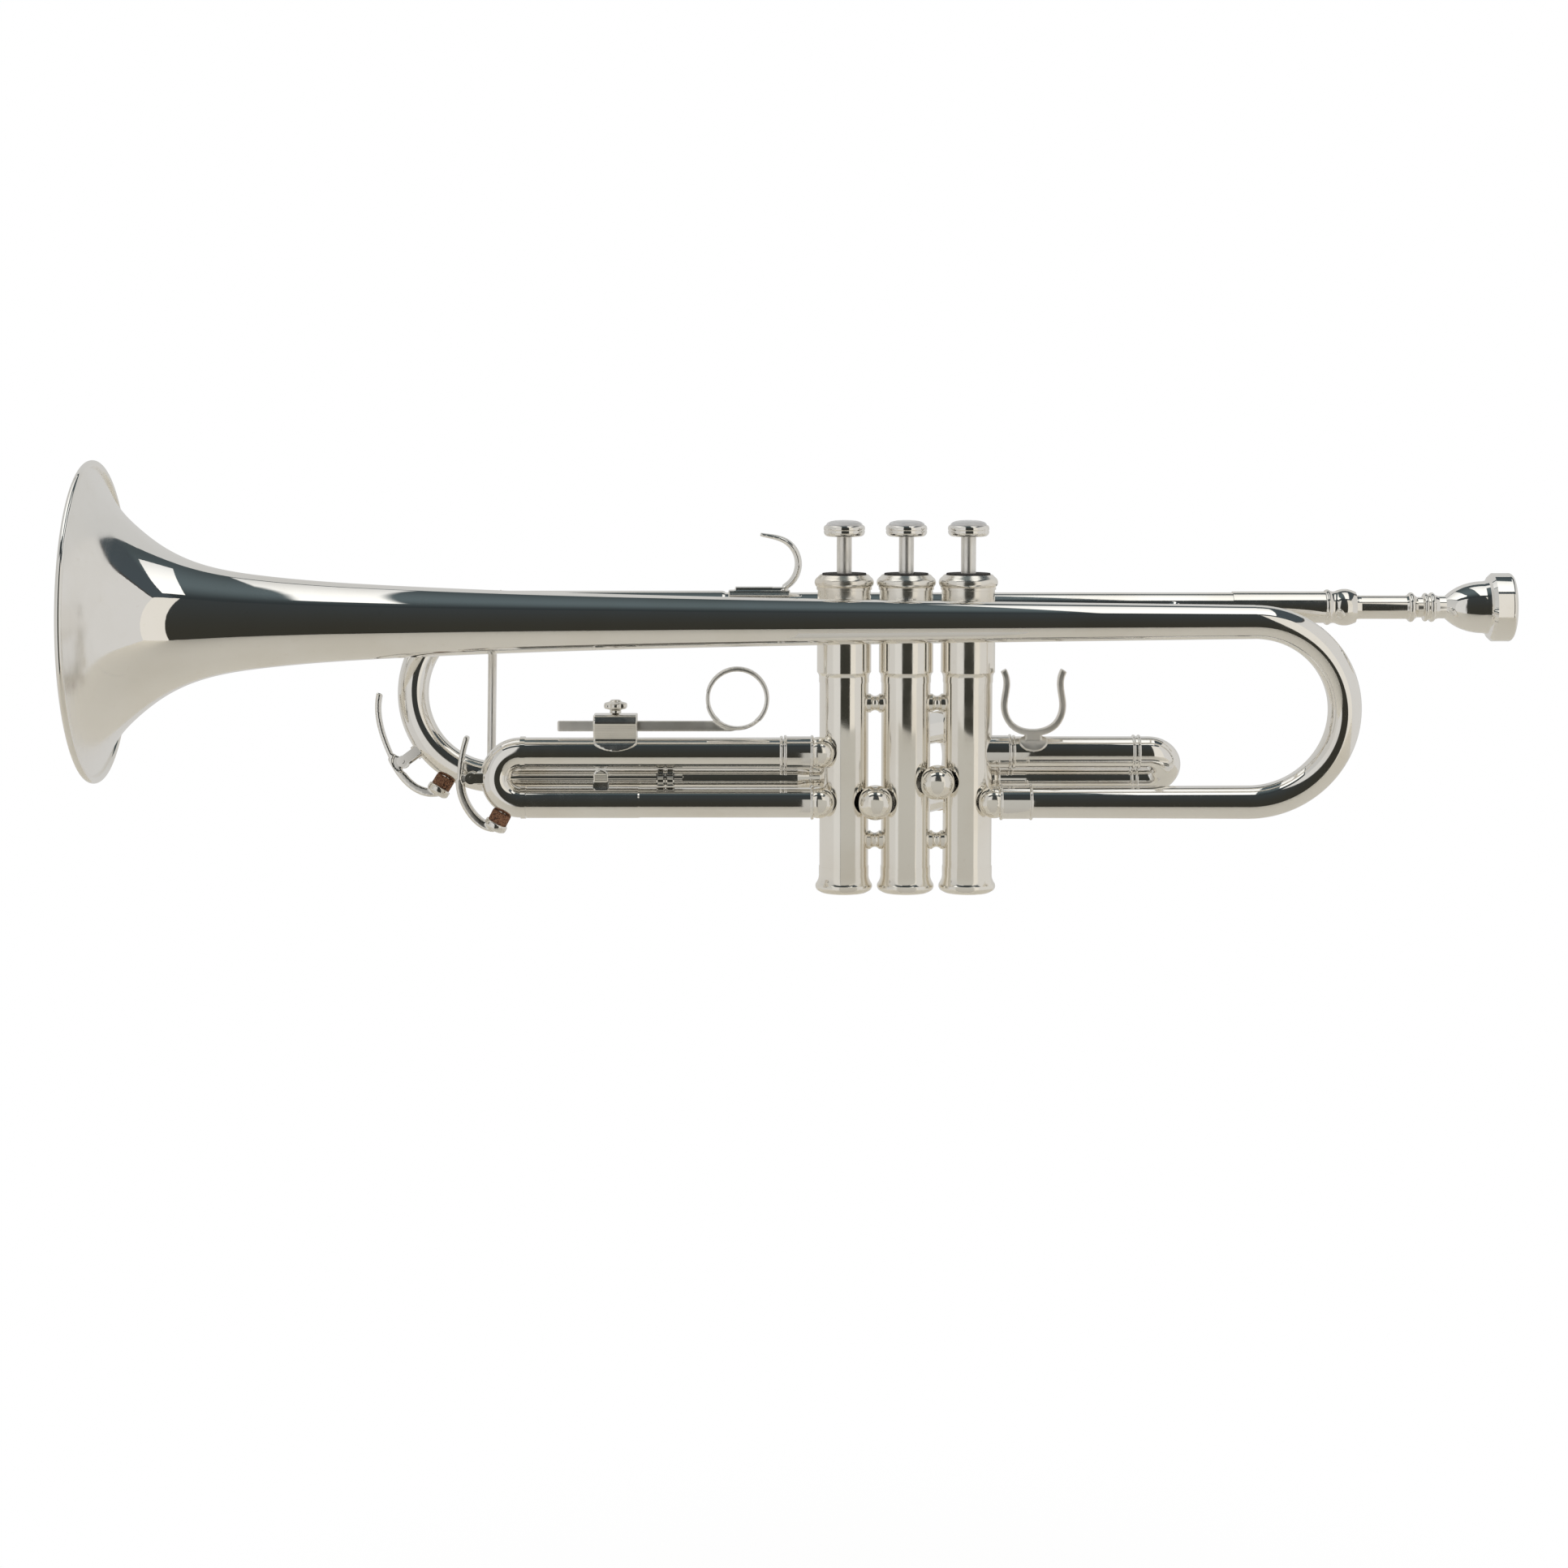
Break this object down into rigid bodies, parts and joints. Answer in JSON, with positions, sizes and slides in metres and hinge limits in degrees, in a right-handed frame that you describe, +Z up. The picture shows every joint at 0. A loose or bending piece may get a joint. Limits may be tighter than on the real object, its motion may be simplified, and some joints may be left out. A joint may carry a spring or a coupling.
{
  "type": "trumpet",
  "caption": "Silver-plated piston-valve trumpet with working valves, pull slides, water keys, adjustable finger ring and removable mouthpiece",
  "frame": {"origin": "the player's grip: on the middle valve's axis, 58 mm above the foot of its casing", "axes": "+X along the tubes from the bell to the mouthpiece, +Z up the valves to the finger buttons, -Y the player's left, where the bell is"},
  "size_m": [0.5495, 0.1331, 0.1689],
  "materials": {
    "silver_plate": "polished silver plate",
    "slide_nickel": "polished nickel",
    "piston_metal": "lapped",
    "spring_steel": "drawn wire",
    "guide_plastic": "moulded",
    "cap_felt": "pressed felt",
    "key_cork": "cut cork",
    "button_pearl": "pearl inlay"
  },
  "bodies": {
    "horn": {"bell": "silver_plate", "bell_rim_wire": "silver_plate", "bell_bow": "silver_plate", "bell_tail_ferrule": "silver_plate", "casing_1": "silver_plate", "casing_2": "silver_plate", "casing_3": "silver_plate", "knuckles": "silver_plate", "casing_braces": "silver_plate", "top_caps": "silver_plate", "bottom_caps": "silver_plate", "cap_felts": "cap_felt", "valve_guides": "guide_plastic", "leadpipe": "silver_plate", "mouthpiece_receiver": "silver_plate", "tuning_sleeve_upper": "silver_plate", "tuning_sleeve_lower": "silver_plate", "body_braces": "silver_plate", "finger_hook": "silver_plate", "third_fixed_inner": "slide_nickel", "third_fixed_outer": "silver_plate", "third_stop_lug": "silver_plate", "first_fixed_inner": "slide_nickel", "first_fixed_outer": "silver_plate", "second_fixed_outer": "silver_plate"},
    "tuning_slide": {"tuning_bow": "silver_plate", "tuning_legs": "slide_nickel", "tuning_brace": "silver_plate", "tuning_key_seat": "silver_plate"},
    "tuning_key": {"tuning_key_lever": "silver_plate", "tuning_key_cork": "key_cork"},
    "third_slide": {"third_bow": "silver_plate", "third_sleeve": "silver_plate", "third_leg": "slide_nickel", "ring_holder": "silver_plate", "third_stop_rod": "silver_plate", "third_key_seat": "silver_plate"},
    "third_key": {"third_key_lever": "silver_plate", "third_key_cork": "key_cork"},
    "ring": {"finger_ring": "silver_plate"},
    "ring_lock": {"thumb_screw": "silver_plate"},
    "first_slide": {"first_bow": "silver_plate", "first_sleeve": "silver_plate", "first_leg": "slide_nickel", "thumb_saddle": "silver_plate"},
    "second_slide": {"second_bow": "silver_plate", "second_legs": "slide_nickel"},
    "mouthpiece": {"mouthpiece": "silver_plate"},
    "valve_1": {"piston_1": "piston_metal", "valve_stem_1": "slide_nickel", "finger_button_1": "silver_plate", "valve_spring_1": "spring_steel"},
    "valve_2": {"piston_2": "piston_metal", "valve_stem_2": "slide_nickel", "finger_button_2": "silver_plate", "valve_spring_2": "spring_steel"},
    "valve_3": {"piston_3": "piston_metal", "valve_stem_3": "slide_nickel", "finger_button_3": "silver_plate", "valve_spring_3": "spring_steel"}
  },
  "joints": [
    {"name": "valve_1_press", "type": "slide", "parent": "horn", "child": "valve_1", "axis": [0, 0, -1], "range_m": [0, 0.014], "stiffness_N_per_m": 100, "springref_m": -0.025, "deforming": ["valve_spring_1"]},
    {"name": "valve_2_press", "type": "slide", "parent": "horn", "child": "valve_2", "axis": [0, 0, -1], "range_m": [0, 0.014], "stiffness_N_per_m": 100, "springref_m": -0.025, "deforming": ["valve_spring_2"]},
    {"name": "valve_3_press", "type": "slide", "parent": "horn", "child": "valve_3", "axis": [0, 0, -1], "range_m": [0, 0.014], "stiffness_N_per_m": 100, "springref_m": -0.025, "deforming": ["valve_spring_3"]},
    {"name": "tuning_pull", "type": "slide", "parent": "horn", "child": "tuning_slide", "axis": [-1, 0, 0], "range_m": [0, 0.04]},
    {"name": "tuning_key_open", "type": "hinge", "parent": "tuning_slide", "child": "tuning_key", "pos_m": [-0.196, 0.00559, -0.01677], "axis": [0, 0.9791, -0.2033], "range_deg": [0, 12], "stiffness_Nm_per_rad": 0.02, "springref_deg": -34.38},
    {"name": "third_pull", "type": "slide", "parent": "horn", "child": "third_slide", "axis": [-1, 0, 0], "range_m": [0, 0.018]},
    {"name": "third_key_open", "type": "hinge", "parent": "third_slide", "child": "third_key", "pos_m": [-0.1679, -0.009, -0.021], "axis": [0, 1, 0], "range_deg": [0, 20], "stiffness_Nm_per_rad": 0.02, "springref_deg": -34.38},
    {"name": "ring_adjust", "type": "slide", "parent": "third_slide", "child": "ring", "axis": [1, 0, 0], "range_m": [-0.01, 0.01]},
    {"name": "ring_lock_turn", "type": "hinge", "parent": "third_slide", "child": "ring_lock", "pos_m": [-0.1122, -0.009, 0.005], "axis": [0, 0, 1], "range_deg": [0, 360]},
    {"name": "first_pull", "type": "slide", "parent": "horn", "child": "first_slide", "axis": [1, 0, 0], "range_m": [0, 0.02]},
    {"name": "second_pull", "type": "slide", "parent": "horn", "child": "second_slide", "axis": [0.5, 0.866, 0], "range_m": [0, 0.01]},
    {"name": "mouthpiece_pull", "type": "slide", "parent": "horn", "child": "mouthpiece", "axis": [1, 0, 0], "range_m": [0, 0.04]}
  ]
}
